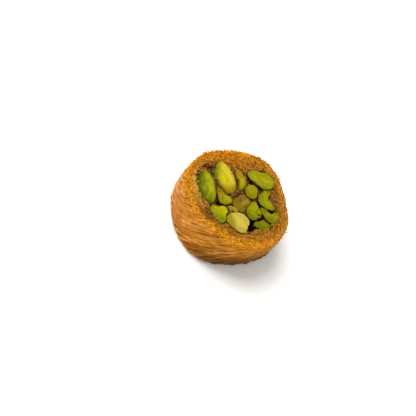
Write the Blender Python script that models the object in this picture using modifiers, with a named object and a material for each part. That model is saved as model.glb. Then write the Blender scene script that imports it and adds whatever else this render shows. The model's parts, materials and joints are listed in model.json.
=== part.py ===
"""One slice of a rolled pistachio kunafa, standing on its lower cut face.

A thick ring of shredded pastry is wound slantwise round whole pistachio kernels, baked, soaked in syrup and cut
across, so both cut faces show the strand ends and the kernels. Sizes are in metres, +Z is up, and the origin is at
the middle of the base.
"""

import math
import random
from collections import namedtuple

import bmesh
import bpy
from mathutils import Matrix, Vector, noise

MM = 0.001

# The roll
HEIGHT = 20.8 * MM
RIM_RADIUS = 24.7 * MM
BASE_RADIUS = 25.5 * MM
HOLLOW_RADIUS = 19.1 * MM
RIM_CENTRE = Vector((-1.0, 0.0)) * MM
BASE_CENTRE = Vector((0.0, 0.75)) * MM

# An outline is a circle with lobes: (how many, share of the radius, angle of one peak in degrees)
RIM_LOBES = ((3, 0.0475, -27), (4, 0.010, 4), (5, 0.016, 13))
BASE_LOBES = ((2, 0.047, 36), (3, 0.038, 32), (4, 0.016, 3))
HOLLOW_LOBES = ((1, 0.022, 25), (2, 0.067, 18), (3, 0.029, -55), (4, 0.030, -2))

# The wound strands
STRAND_TURN = math.radians(48)  # how far round a strand runs on its way from the base to the cut face
LOCKS = 40  # bundles of strands that show as ridges round the wall
LOCK_RELIEF = 0.65 * MM
LOWEST_LOCK = 0.35  # the flattest bundle, as a share of the fullest
PRESSED_FOOT = 0.4  # share of the relief that is left where the roll stands
LAP_AT = math.radians(-102)  # where the outer end of the wound sheet lies at the base
LAP_STEP = 0.8 * MM
LAP_FADE = math.radians(110)

# The cut faces
CRUMB = 0.45 * MM  # height of the bumps that the cut strand ends make
CRUMB_SIZE = 1.7 * MM
CALM_CRUMB = 0.3  # share of that height left at the soaked inner edge
WALL_CRUMB = 0.22 * MM
FACE_DIP = 1.5 * MM  # how far the cut pastry sinks towards the kernels
DEEP_DIP = 1.3 * MM  # how much more it sinks at the deepest side
DEEP_SIDE = math.radians(125)
DIP_CURVE = 1.6  # over 1 keeps the dip near the kernels
EDGE_ROUND = 0.035  # rounding of the ring's edges, as a share of its section

# The kernels and their bed
GAP = 0.3 * MM
BED_GAP = 0.5 * MM  # between the bed and the pastry round it
BED_DEPTH = 3.4 * MM
BED_RELIEF = 0.5 * MM
BED_CRUMB_SIZE = 2.4 * MM
KERNEL_DEPTH = 5.0  # mm of a kernel below its widest level, at most half its length
FULLNESS = 0.72  # under 1 makes a kernel's top flatter and its flanks steeper than an ellipsoid's
BASE_SINK = 2.7 * MM
BASE_DOME = 2.1  # mm
BASE_KERNEL_DEPTH = 4.2  # mm

# Mesh counts
LOCK_COLUMNS = 4
WALL_LEVELS = (0.94, 0.76, 0.58, 0.40, 0.22, 0.05)
HOLLOW_LEVELS = (0.06, 0.34, 0.62, 0.90)
FACE_STEPS = (0.10, 0.30, 0.52, 0.74, 0.965)
BED_COLUMNS = 44
BED_RINGS = 4
KERNEL_SEGMENTS, KERNEL_RINGS = 14, 8
SMALL_SEGMENTS, SMALL_RINGS = 10, 6

PASTRY_COLOUR = (0.60, 0.27, 0.06, 1)
FILLING_COLOUR = (0.16, 0.10, 0.025, 1)
KERNEL_COLOUR = (0.33, 0.38, 0.03, 1)
PALE_COLOUR = (0.62, 0.52, 0.13, 1)
SOAKED_COLOUR = (0.27, 0.22, 0.05, 1)
PASTRY_ROUGHNESS = 0.55
FILLING_ROUGHNESS = 0.3
KERNEL_ROUGHNESS = 0.35
SMOOTH_UNDER = math.radians(50)  # edges blunter than this are shaded smooth

# x, y: middle of the kernel on the cut face, in mm from the face's centre. length, width: mm. turn: degrees of the
# long axis. lobe, peak: a three-cornered outline's share and one corner's angle in the kernel. bend: mm by which the
# ends curve to the kernel's left. dome, sink: mm from the widest level up to the top, and up to the cut plane.
Kernel = namedtuple("Kernel", "x y length width turn lobe peak bend dome sink colour")


def kernel(x, y, length, width, turn, lobe=0.0, peak=0, bend=0.0, dome=2.1, sink=2.8, colour=KERNEL_COLOUR):
    return Kernel(x, y, length, width, turn, lobe, peak, bend, dome, sink, colour)


KERNELS = {
    "kernel_01_long": kernel(-12.8, -6.6, 16.8, 7.8, -42, lobe=0.03, peak=150, dome=3.0, sink=3.5),
    "kernel_02_long_pale": kernel(-9.8, 4.2, 16.6, 8.4, -35, lobe=0.03, peak=170, dome=3.3, sink=3.4),
    "kernel_03_slim": kernel(-4.0, 9.3, 12.6, 4.6, -56, bend=-0.6, dome=2.0, sink=3.6, colour=SOAKED_COLOUR),
    "kernel_04_large": kernel(3.2, 18.1, 13.4, 9.4, 27, lobe=0.08, peak=40, dome=2.4, sink=2.8),
    "kernel_05_round": kernel(3.2, 8.4, 6.9, 5.6, 86, lobe=0.03, peak=90),
    "kernel_06_bean": kernel(11.1, 9.4, 9.8, 5.6, -43, bend=3.0),
    "kernel_07_bean": kernel(17.3, 4.7, 8.8, 4.7, 35, bend=2.4),
    "kernel_08_five_sided": kernel(9.7, 0.2, 8.7, 6.8, 92, lobe=0.06, peak=180),
    "kernel_09_small": kernel(16.8, -2.3, 8.3, 4.6, 38, lobe=0.05, peak=30, sink=3.1),
    "kernel_10_pale": kernel(7.7, -10.0, 10.2, 9.6, -8, lobe=0.06, peak=-40, dome=2.3, colour=PALE_COLOUR),
    "kernel_11_three_sided": kernel(-0.7, -13.5, 8.2, 7.3, 0, lobe=0.17, peak=86),
    "kernel_12_three_sided": kernel(-4.5, -4.8, 8.2, 6.0, 0, lobe=0.16, peak=-93),
    "kernel_13_soaked": kernel(2.7, 0.1, 7.4, 5.5, 88, dome=1.5, sink=3.2, colour=SOAKED_COLOUR),
    "kernel_14_shard": kernel(1.6, -6.3, 3.9, 2.9, -28, lobe=0.10, peak=20, dome=1.2, sink=3.0, colour=PALE_COLOUR),
}

# The kernels of the lower cut face lie in rings: (kernels, ring radius, length, width in mm, first angle in degrees)
BASE_RINGS = ((8, 13.3, 9.0, 6.6, 12), (3, 4.6, 7.0, 5.6, 75))
BASE_TURN_SPREAD = 14
BASE_SIZE_SPREAD = 0.06
BASE_LOBE_SPREAD = 0.05
SEED = 7


def clear_scene():
    for obj in list(bpy.data.objects):
        bpy.data.objects.remove(obj)


def new_collection(name, hidden=False):
    collection = bpy.data.collections.new(name)
    collection.hide_render = hidden
    bpy.context.scene.collection.children.link(collection)
    return collection


def new_material(name, colour, roughness):
    material = bpy.data.materials.new(name)
    material.use_nodes = True
    shader = material.node_tree.nodes["Principled BSDF"]
    shader.inputs["Base Color"].default_value = colour
    shader.inputs["Roughness"].default_value = roughness
    shader.inputs["Metallic"].default_value = 0.0
    return material


def mix(a, b, share):
    return a + (b - a) * share


def lobed(radius, lobes, angle):
    return radius * (1 + sum(share * math.cos(count * (angle - math.radians(peak))) for count, share, peak in lobes))


def direction(angle):
    return Vector((math.cos(angle), math.sin(angle)))


def bumps(x, y, z, size):
    """Smooth random relief, about -1 to 1, with bumps of the given size."""
    return noise.noise(Vector((x, y, z)) / size)


def outer_wall(angle, up):
    """Point of the roll's side at a share of its height, without relief."""
    rim = RIM_CENTRE + direction(angle) * lobed(RIM_RADIUS, RIM_LOBES, angle)
    base = BASE_CENTRE + direction(angle) * lobed(BASE_RADIUS, BASE_LOBES, angle)
    return mix(base, rim, up)


def hollow_wall(angle, up):
    """Point of the hollow that the pastry is wound round. It is near round at the base."""
    rim = RIM_CENTRE + direction(angle) * lobed(HOLLOW_RADIUS, HOLLOW_LOBES, angle)
    base = BASE_CENTRE + direction(angle) * HOLLOW_RADIUS
    return mix(base, rim, up)


def lock_relief(lane, up, heights):
    """How far the strands stand out on the lane that starts at an angle of the base."""
    place = lane % math.tau / math.tau * LOCKS
    ridge = math.sin(math.pi * (place % 1)) * heights[int(place) % LOCKS]
    lap = max(0.0, 1 - (lane - LAP_AT) % math.tau / LAP_FADE)
    foot = mix(PRESSED_FOOT, 1.0, min(1.0, up / WALL_LEVELS[-1]))
    return (LOCK_RELIEF * ridge + LAP_STEP * lap) * foot


def face_height(angle, across):
    """Height of the upper cut face of the ring, from the hollow (across 0) to the outer edge (across 1)."""
    dip = FACE_DIP + DEEP_DIP * max(0.0, math.cos(angle - DEEP_SIDE))
    return HEIGHT - dip * (1 - across) ** DIP_CURVE


def ring_section():
    """The ring's section as shares of its width and height, down its outer side first."""
    wall = [(1.0, up) for up in WALL_LEVELS]
    base = [(1 - EDGE_ROUND, 0.0), (EDGE_ROUND, 0.0)]
    hollow = [(0.0, up) for up in HOLLOW_LEVELS]
    face = [(across, 1.0) for across in FACE_STEPS]
    return wall + base + hollow + face


def turned(name, points, closed, steps):
    """The points, run round the Z axis by a Screw modifier, as a plain mesh."""
    mesh = bpy.data.meshes.new(name)
    edges = [(i, i + 1) for i in range(len(points) - 1)]
    if closed:
        edges.append((len(points) - 1, 0))
    mesh.from_pydata([(x, 0, z) for x, z in points], edges, [])
    profile = bpy.data.objects.new(name + "_profile", mesh)
    bpy.context.scene.collection.objects.link(profile)
    screw = profile.modifiers.new("Turn", "SCREW")
    screw.steps = steps
    screw.render_steps = steps
    screw.use_merge_vertices = True
    screw.merge_threshold = 0.0001
    bpy.context.view_layer.update()
    graph = bpy.context.evaluated_depsgraph_get()
    result = bpy.data.meshes.new_from_object(profile.evaluated_get(graph))
    bpy.data.objects.remove(profile)
    result.name = name
    return result


def finish(name, mesh, material, collection):
    mesh.materials.clear()
    mesh.materials.append(material)
    mesh.shade_smooth()
    mesh.set_sharp_from_angle(angle=SMOOTH_UNDER)
    mesh.update()
    obj = bpy.data.objects.new(name, mesh)
    collection.objects.link(obj)
    return obj


def make_pastry(collection, rng):
    """The ring of wound pastry: ridged wall, bumpy upper cut face, and a flat base to stand on."""
    heights = [rng.uniform(LOWEST_LOCK, 1.0) for _ in range(LOCKS)]
    mesh = turned("pastry", [(1 + across, up) for across, up in ring_section()], True, LOCKS * LOCK_COLUMNS)
    for vertex in mesh.vertices:
        lane = math.atan2(vertex.co.y, vertex.co.x)
        across = min(1.0, max(0.0, math.hypot(vertex.co.x, vertex.co.y) - 1))
        up = vertex.co.z
        angle = lane + STRAND_TURN * up
        outside = outer_wall(angle, up) + direction(angle) * lock_relief(lane, up, heights)
        flat = mix(hollow_wall(angle, up), outside, across)
        z = up * face_height(angle, across)
        if up > WALL_LEVELS[0]:
            z += CRUMB * bumps(flat.x, flat.y, z, CRUMB_SIZE) * mix(CALM_CRUMB, 1.0, across)
        elif up > 0 and across == 1:
            flat += direction(angle) * WALL_CRUMB * bumps(flat.x, flat.y, z, CRUMB_SIZE)
        vertex.co = (flat.x, flat.y, z)
    return finish("pastry", mesh, new_material("golden_pastry", PASTRY_COLOUR, PASTRY_ROUGHNESS), collection)


def make_filling(collection):
    """The syrup-soaked bed that runs through the roll and holds the kernels of both cut faces."""
    shares = [i / BED_RINGS for i in range(BED_RINGS + 1)]
    points = [(share, 1.0) for share in shares] + [(1.0, 0.5)] + [(share, 0.0) for share in reversed(shares)]
    mesh = turned("filling", points, False, BED_COLUMNS)
    for vertex in mesh.vertices:
        angle = math.atan2(vertex.co.y, vertex.co.x)
        share = math.hypot(vertex.co.x, vertex.co.y)
        low, high = BASE_SINK, HEIGHT - BED_DEPTH
        z = mix(low, high, vertex.co.z)
        centre = mix(BASE_CENTRE, RIM_CENTRE, z / HEIGHT)
        flat = mix(centre, hollow_wall(angle, z / HEIGHT) - direction(angle) * BED_GAP, share)
        if vertex.co.z in (0.0, 1.0):
            z += BED_RELIEF * bumps(flat.x, flat.y, z, BED_CRUMB_SIZE)
        vertex.co = (flat.x, flat.y, z)
    return finish("filling", mesh, new_material("soaked_filling", FILLING_COLOUR, FILLING_ROUGHNESS), collection)


def kernel_mesh(name, shape, depth, segments, rings):
    """One kernel, upright, with its widest level at z 0: a sphere pulled to the kernel's outline."""
    mesh = bpy.data.meshes.new(name)
    ball = bmesh.new()
    bmesh.ops.create_uvsphere(ball, u_segments=segments, v_segments=rings, radius=1.0)
    for vertex in ball.verts:
        x, y, z = vertex.co
        angle = math.atan2(y, x)
        spread = math.hypot(x, y) ** FULLNESS * (1 + shape.lobe * math.cos(3 * (angle - math.radians(shape.peak))))
        along = spread * math.cos(angle)
        aside = shape.width / 2 * spread * math.sin(angle) + shape.bend * (along**2 - 0.4)
        height = z * (shape.dome if z > 0 else depth)
        vertex.co = (shape.length / 2 * along * MM, aside * MM, height * MM)
    ball.to_mesh(mesh)
    ball.free()
    return mesh


def add_kernel(name, mesh, place, colour, collection, pockets):
    """Puts a kernel in place, with a slightly larger copy of it that cuts its pocket."""
    obj = finish(name, mesh, new_material(name, colour, KERNEL_ROUGHNESS), collection)
    obj.matrix_world = place
    pocket = bpy.data.objects.new(name + "_pocket", mesh)
    pocket.matrix_world = place
    pocket.hide_render = True
    pocket.display_type = "WIRE"
    pockets.objects.link(pocket)
    grow = pocket.modifiers.new("Clearance", "DISPLACE")
    grow.strength = GAP
    grow.mid_level = 0.0


def make_upper_kernels(collection, pockets):
    """The kernels that show on the upper cut face, each where the cut left it."""
    for name, shape in KERNELS.items():
        depth = min(KERNEL_DEPTH, shape.length / 2)
        mesh = kernel_mesh(name, shape, depth, KERNEL_SEGMENTS, KERNEL_RINGS)
        middle = RIM_CENTRE + Vector((shape.x, shape.y)) * MM
        place = Matrix.Translation((middle.x, middle.y, HEIGHT - shape.sink * MM))
        place @= Matrix.Rotation(math.radians(shape.turn), 4, "Z")
        add_kernel(name, mesh, place, shape.colour, collection, pockets)


def make_base_kernels(collection, pockets, rng):
    """The kernels of the lower cut face, in two rings, upside down and just clear of the surface it stands on."""
    number = 0
    for count, ring, length, width, first in BASE_RINGS:
        for i in range(count):
            number += 1
            size = 1 - rng.uniform(0, BASE_SIZE_SPREAD)
            lobe, peak = rng.uniform(0, BASE_LOBE_SPREAD), rng.uniform(0, 120)
            shape = kernel(0, 0, length * size, width * size, 0, lobe=lobe, peak=peak, dome=BASE_DOME)
            name = f"base_kernel_{number:02d}"
            mesh = kernel_mesh(name, shape, BASE_KERNEL_DEPTH, SMALL_SEGMENTS, SMALL_RINGS)
            angle = math.radians(first + 360 / count * i)
            middle = BASE_CENTRE + direction(angle) * ring * MM
            turn = angle + math.pi / 2 + math.radians(rng.uniform(-BASE_TURN_SPREAD, BASE_TURN_SPREAD))
            place = Matrix.Translation((middle.x, middle.y, BASE_SINK)) @ Matrix.Rotation(turn, 4, "Z")
            place @= Matrix.Rotation(math.pi, 4, "X")
            add_kernel(name, mesh, place, KERNEL_COLOUR, collection, pockets)


def cut_pockets(obj, pockets):
    cut = obj.modifiers.new("Pockets", "BOOLEAN")
    cut.operation = "DIFFERENCE"
    cut.operand_type = "COLLECTION"
    cut.collection = pockets
    cut.solver = "EXACT"


def main():
    clear_scene()
    rng = random.Random(SEED)
    kunafa = new_collection("rolled_kunafa")
    pockets = new_collection("kernel_pockets", hidden=True)
    pastry = make_pastry(kunafa, rng)
    filling = make_filling(kunafa)
    make_upper_kernels(kunafa, pockets)
    make_base_kernels(kunafa, pockets, rng)
    cut_pockets(pastry, pockets)
    cut_pockets(filling, pockets)


main()
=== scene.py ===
"""The looks of one slice of a rolled pistachio kunafa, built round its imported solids."""

import json
import math

import bmesh
import bpy
from mathutils import Matrix, Vector


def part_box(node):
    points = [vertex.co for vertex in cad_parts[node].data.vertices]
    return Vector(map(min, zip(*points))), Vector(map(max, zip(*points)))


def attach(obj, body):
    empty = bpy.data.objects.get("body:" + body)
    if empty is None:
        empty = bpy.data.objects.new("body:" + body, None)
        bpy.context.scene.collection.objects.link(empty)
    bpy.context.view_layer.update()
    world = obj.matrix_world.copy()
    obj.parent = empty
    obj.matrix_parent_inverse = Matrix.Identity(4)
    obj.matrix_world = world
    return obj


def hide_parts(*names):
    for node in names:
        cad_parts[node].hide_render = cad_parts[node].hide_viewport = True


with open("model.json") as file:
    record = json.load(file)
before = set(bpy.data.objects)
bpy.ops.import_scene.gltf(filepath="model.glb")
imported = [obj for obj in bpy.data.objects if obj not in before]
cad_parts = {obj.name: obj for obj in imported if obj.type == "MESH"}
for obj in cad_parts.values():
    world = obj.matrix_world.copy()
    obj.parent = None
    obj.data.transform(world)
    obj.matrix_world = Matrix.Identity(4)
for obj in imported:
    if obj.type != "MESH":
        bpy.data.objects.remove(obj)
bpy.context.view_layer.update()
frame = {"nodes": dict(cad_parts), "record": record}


# SOAKED BED
# Syrup-wet strands and pistachio crumbs are packed between the kernels, from the upper cut face to the
# lower one. The sheet of pastry is rolled up round them, so the bed is the innermost piece, with holes
# where crumbs fell out.

MM = 0.001
HEIGHT = 20.8 * MM
RIM_CENTRE = Vector((-1.0, 0.0, 0.0)) * MM
BASE_CENTRE = Vector((0.0, 0.75, 0.0)) * MM
UP = Vector((0, 0, 1))


def paint(red, green, blue):
    """A colour in the 0 to 255 steps of a photograph, as the linear values that Blender takes."""
    linear = []
    for step in (red, green, blue):
        share = step / 255
        linear.append(share / 12.92 if share <= 0.04045 else ((share + 0.055) / 1.055) ** 2.4)
    return (*linear, 1.0)


def level(degrees):
    """The level direction at an angle from +X."""
    return Vector((math.cos(math.radians(degrees)), math.sin(math.radians(degrees)), 0))


SYRUP = paint(255, 214, 150)  # the glaze tints what it mirrors


class Wire:
    """An output socket that can stand in a sum: each operator adds the node that works it out."""

    def __init__(self, nodes, socket):
        self.nodes = nodes
        self.socket = socket

    def __add__(self, other):
        return self.nodes.maths("ADD", self, other)

    def __radd__(self, other):
        return self.nodes.maths("ADD", other, self)

    def __sub__(self, other):
        return self.nodes.maths("SUBTRACT", self, other)

    def __rsub__(self, other):
        return self.nodes.maths("SUBTRACT", other, self)

    def __mul__(self, other):
        return self.nodes.maths("MULTIPLY", self, other)

    def __rmul__(self, other):
        return self.nodes.maths("MULTIPLY", other, self)

    def __truediv__(self, other):
        return self.nodes.maths("DIVIDE", self, other)

    def __gt__(self, other):
        return self.nodes.maths("GREATER_THAN", self, other)

    def __lt__(self, other):
        return self.nodes.maths("LESS_THAN", self, other)


class Nodes:
    """A node tree that is being put together."""

    def __init__(self, tree):
        self.tree = tree

    def add(self, kind, settings=None, sockets=None, out=0):
        """Any node: its settings, then a value or a wire for each socket. Several outs give several wires."""
        node = self.tree.nodes.new(kind)
        for name, value in (settings or {}).items():
            setattr(node, name, value)
        for key, value in (sockets or {}).items():
            if isinstance(value, Wire):
                self.tree.links.new(value.socket, node.inputs[key])
            else:
                node.inputs[key].default_value = value
        if isinstance(out, tuple):
            return tuple(Wire(self, node.outputs[one]) for one in out)
        return Wire(self, node.outputs[out])

    def maths(self, operation, *values):
        """A Math node, or a Vector Math node where one of the values is a vector."""
        vectors = []
        numbers = []
        for value in values:
            kind = value.socket.type if isinstance(value, Wire) else ""
            is_vector = isinstance(value, Vector) or kind in ("VECTOR", "RGBA")
            (vectors if is_vector else numbers).append(value)
        if not vectors:
            return self.add("ShaderNodeMath", {"operation": operation}, dict(enumerate(values)))
        if numbers:
            return self.add("ShaderNodeVectorMath", {"operation": "SCALE"}, {0: vectors[0], 3: numbers[0]})
        return self.add("ShaderNodeVectorMath", {"operation": operation}, dict(enumerate(values)))

    def length(self, vector):
        return self.add("ShaderNodeVectorMath", {"operation": "LENGTH"}, {0: vector}, out=1)

    def dot(self, first, second):
        return self.add("ShaderNodeVectorMath", {"operation": "DOT_PRODUCT"}, {0: first, 1: second}, out=1)

    def parts(self, vector):
        return self.add("ShaderNodeSeparateXYZ", {}, {0: vector}, out=(0, 1, 2))

    def vector(self, x, y, z):
        return self.add("ShaderNodeCombineXYZ", {}, {0: x, 1: y, 2: z})

    def round_way(self, angle, z=0.0):
        """The direction at an angle from +X, or a point of the unit circle at a height."""
        return self.vector(self.maths("COSINE", angle), self.maths("SINE", angle), z)

    def turned(self, vector, centre, angle):
        """The vector from a centre, turned about the upright axis."""
        sockets = {"Vector": vector - centre, "Center": (0, 0, 0), "Angle": angle}
        return self.add("ShaderNodeVectorRotate", {"rotation_type": "Z_AXIS"}, sockets)

    def clouds(self, place, size, detail=2.0, distortion=0.0, out=0):
        """Soft random blotches of a size in metres, from 0 to 1 and mostly near 0.5."""
        sockets = {"Vector": place, "Scale": 1 / size, "Detail": detail, "Distortion": distortion}
        return self.add("ShaderNodeTexNoise", {}, sockets, out)

    def cells(self, place, size, feature="F1"):
        """Distance from the nearest of the scattered points that lie about a size in metres apart."""
        return self.add("ShaderNodeTexVoronoi", {"feature": feature}, {"Vector": place, "Scale": 1 / size})

    def ease(self, value, low, high, start=0.0, end=1.0):
        """Goes softly from start to end while the value goes from low to high."""
        sockets = {0: value, 1: low, 2: high, 3: start, 4: end}
        return self.add("ShaderNodeMapRange", {"interpolation_type": "SMOOTHSTEP"}, sockets)

    def blend(self, share, first, second):
        """A colour between two colours."""
        return self.add("ShaderNodeMix", {"data_type": "RGBA"}, {0: share, 6: first, 7: second}, out=2)


class Finish(Nodes):
    """A material that is being put together."""

    def __init__(self, name):
        self.material = bpy.data.materials.new(name)
        self.material.use_nodes = True
        super().__init__(self.material.node_tree)
        self.tree.nodes.clear()
        self.place = self.add("ShaderNodeTexCoord", {}, {}, out="Object")

    def stored(self, name):
        """A number that a piece's own tree stored on its mesh."""
        return self.add("ShaderNodeAttribute", {"attribute_name": name}, {}, out="Fac")

    def bump(self, height, depth):
        """The surface's slope where a pattern of 0 to 1 stands a depth in metres."""
        return self.add("ShaderNodeBump", {}, {"Strength": 1.0, "Distance": depth, "Height": height})

    def close(self, sockets):
        shader = self.add("ShaderNodeBsdfPrincipled", {}, sockets)
        output = self.tree.nodes.new("ShaderNodeOutputMaterial")
        self.tree.links.new(shader.socket, output.inputs["Surface"])
        return self.material

    def glaze(self, colour, rough, shine, slope, **more):
        """The finished material of anything that syrup has soaked."""
        sockets = {"Base Color": colour, "Roughness": rough, "Specular IOR Level": shine}
        return self.close({**sockets, "Specular Tint": SYRUP, "Normal": slope, **more})


class Recipe(Nodes):
    """A Geometry Nodes tree that is being put together, with its sizes as named inputs."""

    def __init__(self, name):
        super().__init__(bpy.data.node_groups.new(name, "GeometryNodeTree"))
        self.sizes = {}
        self.tree.interface.new_socket("Geometry", in_out="INPUT", socket_type="NodeSocketGeometry")
        self.tree.interface.new_socket("Geometry", in_out="OUTPUT", socket_type="NodeSocketGeometry")
        self.entry = self.tree.nodes.new("NodeGroupInput")
        self.start = Wire(self, self.entry.outputs["Geometry"])
        self.position = self.add("GeometryNodeInputPosition")
        self.normal = self.add("GeometryNodeInputNormal")

    def size(self, name, value):
        item = self.tree.interface.new_socket(name, in_out="INPUT", socket_type="NodeSocketFloat")
        self.sizes[item.identifier] = value
        return Wire(self, self.entry.outputs[name])

    def chance(self, low, high, seed, identity=None):
        """A random number that stays the same for each point, or for each value of an identity."""
        sockets = {2: low, 3: high, 8: seed}
        if identity:
            sockets[7] = identity
        return self.add("FunctionNodeRandomValue", {"data_type": "FLOAT"}, sockets, out=1)

    def form(self, piece):
        """The mesh of an object."""
        return self.add("GeometryNodeObjectInfo", {}, {"Object": piece}, out="Geometry")

    def moved(self, geometry, sockets):
        return self.add("GeometryNodeSetPosition", {}, {"Geometry": geometry, **sockets})

    def keep(self, geometry, name, value):
        """Stores a number on the mesh, for its material or a later step."""
        settings = {"data_type": "FLOAT", "domain": "POINT"}
        return self.add("GeometryNodeStoreNamedAttribute", settings, {0: geometry, 2: name, 3: value})

    def kept(self, name):
        return self.add("GeometryNodeInputNamedAttribute", {"data_type": "FLOAT"}, {"Name": name})

    def around(self, x, y):
        """The level direction round the roll's axis, the way that the strands are wound."""
        return self.maths("NORMALIZE", self.maths("CROSS_PRODUCT", UP, self.vector(x, y, 0.0)))

    def scatter(self, ground, chosen, apart, density, seed):
        """Points over the chosen faces of an object, at least a distance apart."""
        sockets = {"Mesh": self.form(ground), "Selection": chosen, "Distance Min": apart}
        sockets.update({"Density Max": density, "Seed": seed})
        return self.add("GeometryNodeDistributePointsOnFaces", {"distribute_method": "POISSON"}, sockets)

    def copies(self, points, form, axis, way, scale):
        """A form at each point, with one of its axes turned to a direction."""
        turn = self.add("FunctionNodeAlignRotationToVector", {"axis": axis}, {"Vector": way})
        sockets = {"Points": points, "Instance": form, "Rotation": turn, "Scale": scale}
        return self.add("GeometryNodeInstanceOnPoints", {}, sockets)

    def line(self, start, end, count):
        """A straight curve that stores how far along it each of its points lies."""
        line = self.add("GeometryNodeCurvePrimitiveLine", {}, {"Start": start, "End": end})
        line = self.add("GeometryNodeResampleCurve", {}, {"Curve": line, "Count": count})
        return self.keep(line, "along", self.add("GeometryNodeSplineParameter"))

    def tube(self, curve, radius):
        """A five-sided strand along a curve, closed at both ends."""
        profile = self.add("GeometryNodeCurvePrimitiveCircle", {}, {"Resolution": 5, "Radius": 1.0})
        sockets = {"Curve": curve, "Profile Curve": profile, "Scale": radius, "Fill Caps": True}
        return self.add("GeometryNodeCurveToMesh", {}, sockets)

    def serve(self, geometry, material):
        """The last nodes: everything is made real and gets its material."""
        real = self.add("GeometryNodeRealizeInstances", {}, {"Geometry": geometry})
        dressed = self.add("GeometryNodeSetMaterial", {}, {"Geometry": real, "Material": material})
        output = self.tree.nodes.new("NodeGroupOutput")
        self.tree.links.new(dressed.socket, output.inputs["Geometry"])
        return self

    def fit(self, holder):
        modifier = holder.modifiers.new(self.tree.name, "NODES")
        modifier.node_group = self.tree
        for identifier, value in self.sizes.items():
            modifier[identifier] = value


def solid_form(node):
    """A mesh of its own with the form of a CAD node, closed again along its edges."""
    form = bmesh.new()
    form.from_mesh(frame["nodes"][node].data)
    bmesh.ops.remove_doubles(form, verts=form.verts, dist=0.001 * MM)
    mesh = bpy.data.meshes.new(node + "_form")
    form.to_mesh(mesh)
    form.free()
    return mesh


def worked(mesh, *steps):
    """The mesh after each step, which is a tree or a modifier's kind with its settings."""
    holder = bpy.data.objects.new("work", mesh)
    bpy.context.scene.collection.objects.link(holder)
    for step in steps:
        if isinstance(step, Recipe):
            step.fit(holder)
            continue
        kind, settings = step
        modifier = holder.modifiers.new(kind, kind)
        for name, value in settings.items():
            setattr(modifier, name, value)
    bpy.context.view_layer.update()
    graph = bpy.context.evaluated_depsgraph_get()
    result = bpy.data.meshes.new_from_object(holder.evaluated_get(graph), depsgraph=graph)
    bpy.data.objects.remove(holder)
    return result


def grown(recipe):
    """The mesh that a tree makes out of nothing."""
    return worked(bpy.data.meshes.new("blank"), recipe)


def add_piece(name, mesh, slot, *solids):
    """Puts a finished mesh on the roll in place of the solids that it stands for."""
    mesh.shade_smooth()
    piece = bpy.data.objects.new(name, mesh)
    bpy.context.scene.collection.objects.link(piece)
    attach(piece, "root")
    if solids:
        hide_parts(*solids)
    return piece


DEEP_SIDE = level(125)  # where the cut pastry dips most
LOW_SIDE = level(218)  # beside the first long kernel
BED_HOLES = (  # the middle's x and y from the face's centre, the radius and the depth, all in mm
    (12.6, -5.8, 3.4, 5.5),
    (13.5, -9.5, 2.7, 3.0),
    (13.4, -0.6, 2.0, 5.0),
    (16.1, 8.0, 2.5, 5.0),
    (0.0, 12.2, 1.9, 4.0),
    (-4.9, -10.2, 1.3, 3.6),
    (-2.6, -8.0, 0.9, 1.6),
    (-18.8, 2.2, 2.6, 1.6),
)

ring_form = bpy.data.objects.new("ring_form", worked(solid_form("pastry"), ("SMOOTH", {"factor": 0.5})))
bpy.context.scene.collection.objects.link(ring_form)


def bed_finish():
    bed = Finish("soaked_strands_and_crumbs")
    crumbs = bed.clouds(bed.place, 1.1 * MM, detail=4)
    height = bed.parts(bed.place)[2]
    middle = bed.blend(bed.ease(crumbs, 0.35, 0.62), paint(44, 20, 10), paint(98, 56, 24))
    specks = bed.ease(bed.cells(bed.place, 1.3 * MM), 0.12, 0.30, 1.0, 0.0)
    middle = bed.blend(specks * 0.45, middle, paint(146, 100, 44))
    # Painted shade: the bed turns near black deep down in its gaps and holes between the kernels.
    sunk = bed.ease(height, 17.0 * MM, 15.4 * MM) * bed.ease(height, 9 * MM, 11 * MM)
    middle = bed.blend(sunk, middle, paint(8, 4, 2))
    outer = bed.blend(bed.ease(crumbs, 0.38, 0.62), paint(134, 74, 8), paint(194, 118, 20))
    # Painted shade: the bank by the pastry turns dark brown lower down.
    outer = bed.blend(bed.ease(height, 17.6 * MM, 16.2 * MM) * 0.8, outer, paint(40, 22, 6))
    colour = bed.blend(bed.stored("outer"), middle, outer)
    return bed.glaze(colour, 0.45, 0.25, bed.bump(bed.clouds(bed.place, 0.6 * MM, detail=3), 0.25 * MM))


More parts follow.
